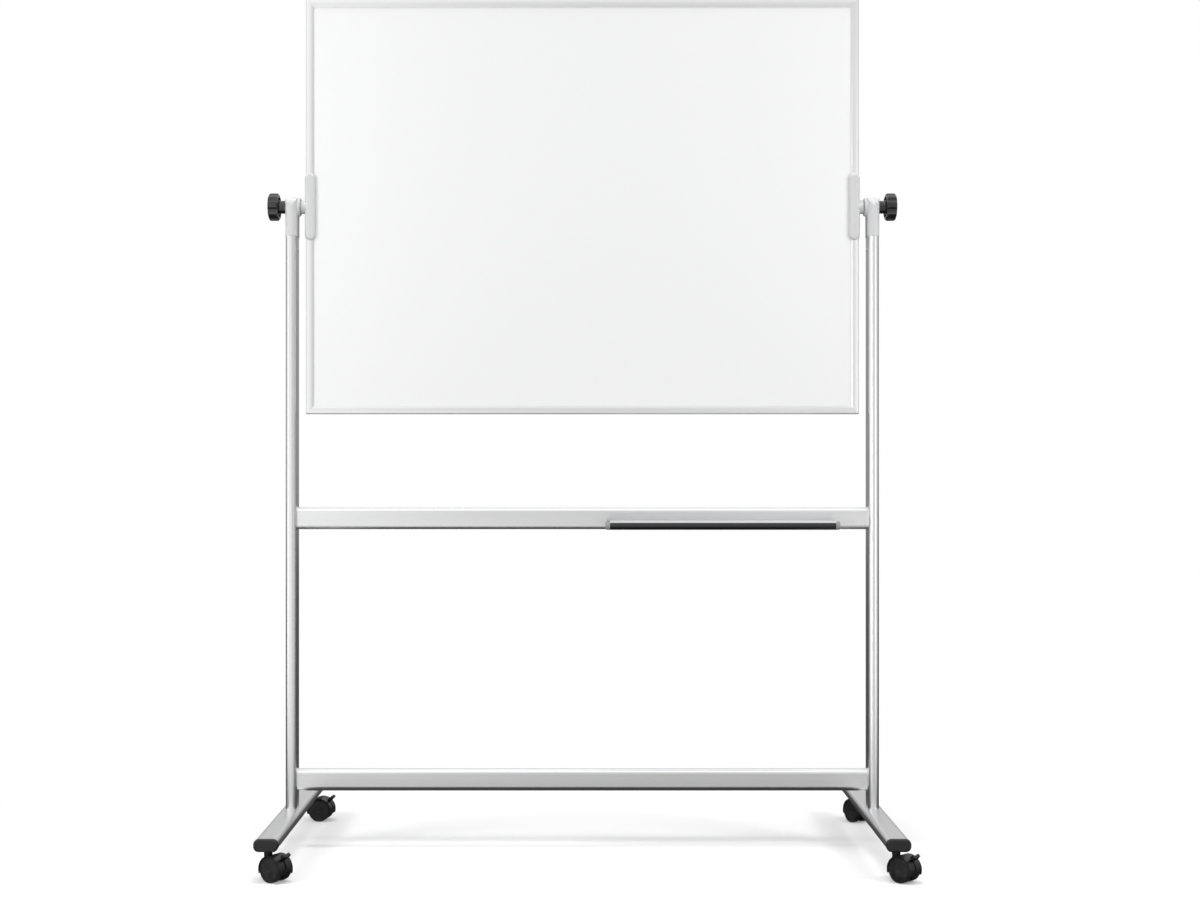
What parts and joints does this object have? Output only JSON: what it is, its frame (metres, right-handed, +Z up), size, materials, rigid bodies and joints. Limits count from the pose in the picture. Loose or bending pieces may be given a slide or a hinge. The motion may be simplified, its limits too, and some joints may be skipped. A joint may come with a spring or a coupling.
{
  "type": "rolling whiteboard",
  "caption": "Double-sided framed whiteboard that turns over between two posts on a caster stand, held by clamping knobs, with a pen tray on its crossbar.",
  "frame": {"origin": "on the floor, midway between the two posts", "axes": "+X to the right of someone who faces the writing side with the tray, +Y away from them, +Z up"},
  "size_m": [1.364, 0.6498, 1.843],
  "materials": {
    "tube_aluminium": "satin",
    "frame_aluminium": "satin",
    "tray_aluminium": "satin",
    "writing_enamel": "gloss",
    "honeycomb_core": "matte",
    "grey_casting": "satin",
    "black_moulding": "matte",
    "grey_moulding": "matte",
    "knob_gloss": "gloss",
    "knob_brass": "satin",
    "fastener_steel": "satin",
    "caster_black": "satin",
    "wheel_black": "satin"
  },
  "bodies": {
    "stand": {"left_foot_arm": "tube_aluminium", "right_foot_arm": "tube_aluminium", "foot_end_caps": "black_moulding", "left_post": "tube_aluminium", "right_post": "tube_aluminium", "mid_crossbar": "tube_aluminium", "low_crossbar": "tube_aluminium", "crossbar_end_plugs": "black_moulding", "crossbar_bolts": "fastener_steel", "post_foot_plugs": "black_moulding", "post_foot_bolts": "fastener_steel", "access_hole_covers": "black_moulding", "left_post_head": "grey_casting", "right_post_head": "grey_casting", "head_screws": "fastener_steel", "pivot_bushes": "grey_moulding", "caster_sockets": "black_moulding", "caster_stems": "fastener_steel", "marker_tray": "tray_aluminium", "tray_end_caps": "grey_moulding", "tray_screws": "fastener_steel"},
    "board": {"front_sheet": "writing_enamel", "rear_sheet": "writing_enamel", "board_core": "honeycomb_core", "top_rail": "frame_aluminium", "bottom_rail": "frame_aluminium", "left_stile": "frame_aluminium", "right_stile": "frame_aluminium", "corner_keys": "black_moulding", "left_board_bracket": "grey_casting", "right_board_bracket": "grey_casting", "bracket_screws": "fastener_steel", "pivot_studs": "fastener_steel", "friction_washers": "grey_moulding"},
    "left_knob_travel": {"left_knob_washer": "grey_moulding"},
    "left_knob": {"left_knob": "knob_gloss", "left_knob_insert": "knob_brass"},
    "right_knob_travel": {"right_knob_washer": "grey_moulding"},
    "right_knob": {"right_knob": "knob_gloss", "right_knob_insert": "knob_brass"},
    "front_left_caster": {"front_left_housing": "caster_black", "front_left_axle": "fastener_steel"},
    "front_left_inner_wheel": {"front_left_inner_wheel": "wheel_black"},
    "front_left_outer_wheel": {"front_left_outer_wheel": "wheel_black"},
    "front_left_brake": {"front_left_brake_lever": "caster_black"},
    "front_right_caster": {"front_right_housing": "caster_black", "front_right_axle": "fastener_steel"},
    "front_right_inner_wheel": {"front_right_inner_wheel": "wheel_black"},
    "front_right_outer_wheel": {"front_right_outer_wheel": "wheel_black"},
    "front_right_brake": {"front_right_brake_lever": "caster_black"},
    "rear_left_caster": {"rear_left_housing": "caster_black", "rear_left_axle": "fastener_steel"},
    "rear_left_inner_wheel": {"rear_left_inner_wheel": "wheel_black"},
    "rear_left_outer_wheel": {"rear_left_outer_wheel": "wheel_black"},
    "rear_left_brake": {"rear_left_brake_lever": "caster_black"},
    "rear_right_caster": {"rear_right_housing": "caster_black", "rear_right_axle": "fastener_steel"},
    "rear_right_inner_wheel": {"rear_right_inner_wheel": "wheel_black"},
    "rear_right_outer_wheel": {"rear_right_outer_wheel": "wheel_black"},
    "rear_right_brake": {"rear_right_brake_lever": "caster_black"}
  },
  "joints": [
    {"name": "board_turn", "type": "hinge", "parent": "stand", "child": "board", "pos_m": [0, 0, 1.393], "axis": [1, 0, 0], "continuous": true},
    {"name": "left_knob_travel", "type": "slide", "parent": "board", "child": "left_knob_travel", "axis": [-1, 0, 0], "range_m": [0, 0.003]},
    {"name": "left_knob_turn", "type": "hinge", "parent": "left_knob_travel", "child": "left_knob", "pos_m": [-0.659, 0, 1.393], "axis": [-1, 0, 0], "range_deg": [0, 720]},
    {"name": "right_knob_travel", "type": "slide", "parent": "board", "child": "right_knob_travel", "axis": [1, 0, 0], "range_m": [0, 0.003]},
    {"name": "right_knob_turn", "type": "hinge", "parent": "right_knob_travel", "child": "right_knob", "pos_m": [0.659, 0, 1.393], "axis": [1, 0, 0], "range_deg": [0, 720]},
    {"name": "front_left_swivel", "type": "hinge", "parent": "stand", "child": "front_left_caster", "pos_m": [-0.6308, -0.284, 0.045], "axis": [0, 0, 1], "continuous": true},
    {"name": "front_left_inner_spin", "type": "hinge", "parent": "front_left_caster", "child": "front_left_inner_wheel", "pos_m": [-0.61422, -0.29518, 0.025], "axis": [0.5592, 0.829, 0], "continuous": true},
    {"name": "front_left_outer_spin", "type": "hinge", "parent": "front_left_caster", "child": "front_left_outer_wheel", "pos_m": [-0.61422, -0.29518, 0.025], "axis": [0.5592, 0.829, 0], "continuous": true},
    {"name": "front_left_brake_press", "type": "hinge", "parent": "front_left_caster", "child": "front_left_brake", "pos_m": [-0.61422, -0.29518, 0.025], "axis": [0.5592, 0.829, 0], "range_deg": [0, 28]},
    {"name": "front_right_swivel", "type": "hinge", "parent": "stand", "child": "front_right_caster", "pos_m": [0.6308, -0.284, 0.045], "axis": [0, 0, 1], "continuous": true},
    {"name": "front_right_inner_spin", "type": "hinge", "parent": "front_right_caster", "child": "front_right_inner_wheel", "pos_m": [0.64418, -0.29886, 0.025], "axis": [0.7431, 0.6691, 0], "continuous": true},
    {"name": "front_right_outer_spin", "type": "hinge", "parent": "front_right_caster", "child": "front_right_outer_wheel", "pos_m": [0.64418, -0.29886, 0.025], "axis": [0.7431, 0.6691, 0], "continuous": true},
    {"name": "front_right_brake_press", "type": "hinge", "parent": "front_right_caster", "child": "front_right_brake", "pos_m": [0.64418, -0.29886, 0.025], "axis": [0.7431, 0.6691, 0], "range_deg": [0, 28]},
    {"name": "rear_left_swivel", "type": "hinge", "parent": "stand", "child": "rear_left_caster", "pos_m": [-0.6308, 0.284, 0.045], "axis": [0, 0, 1], "continuous": true},
    {"name": "rear_left_inner_spin", "type": "hinge", "parent": "rear_left_caster", "child": "rear_left_inner_wheel", "pos_m": [-0.6111, 0.28053, 0.025], "axis": [0.1736, 0.9848, 0], "continuous": true},
    {"name": "rear_left_outer_spin", "type": "hinge", "parent": "rear_left_caster", "child": "rear_left_outer_wheel", "pos_m": [-0.6111, 0.28053, 0.025], "axis": [0.1736, 0.9848, 0], "continuous": true},
    {"name": "rear_left_brake_press", "type": "hinge", "parent": "rear_left_caster", "child": "rear_left_brake", "pos_m": [-0.6111, 0.28053, 0.025], "axis": [0.1736, 0.9848, 0], "range_deg": [0, 28]},
    {"name": "rear_right_swivel", "type": "hinge", "parent": "stand", "child": "rear_right_caster", "pos_m": [0.6308, 0.284, 0.045], "axis": [0, 0, 1], "continuous": true},
    {"name": "rear_right_inner_spin", "type": "hinge", "parent": "rear_right_caster", "child": "rear_right_inner_wheel", "pos_m": [0.64019, 0.26634, 0.025], "axis": [0.8829, 0.4695, 0], "continuous": true},
    {"name": "rear_right_outer_spin", "type": "hinge", "parent": "rear_right_caster", "child": "rear_right_outer_wheel", "pos_m": [0.64019, 0.26634, 0.025], "axis": [0.8829, 0.4695, 0], "continuous": true},
    {"name": "rear_right_brake_press", "type": "hinge", "parent": "rear_right_caster", "child": "rear_right_brake", "pos_m": [0.64019, 0.26634, 0.025], "axis": [0.8829, 0.4695, 0], "range_deg": [0, 28]}
  ],
  "couplings": [
    {"joint": "left_knob_travel", "follows": "left_knob_turn", "m_per_rad": 0.00023873},
    {"joint": "right_knob_travel", "follows": "right_knob_turn", "m_per_rad": 0.00023873}
  ]
}
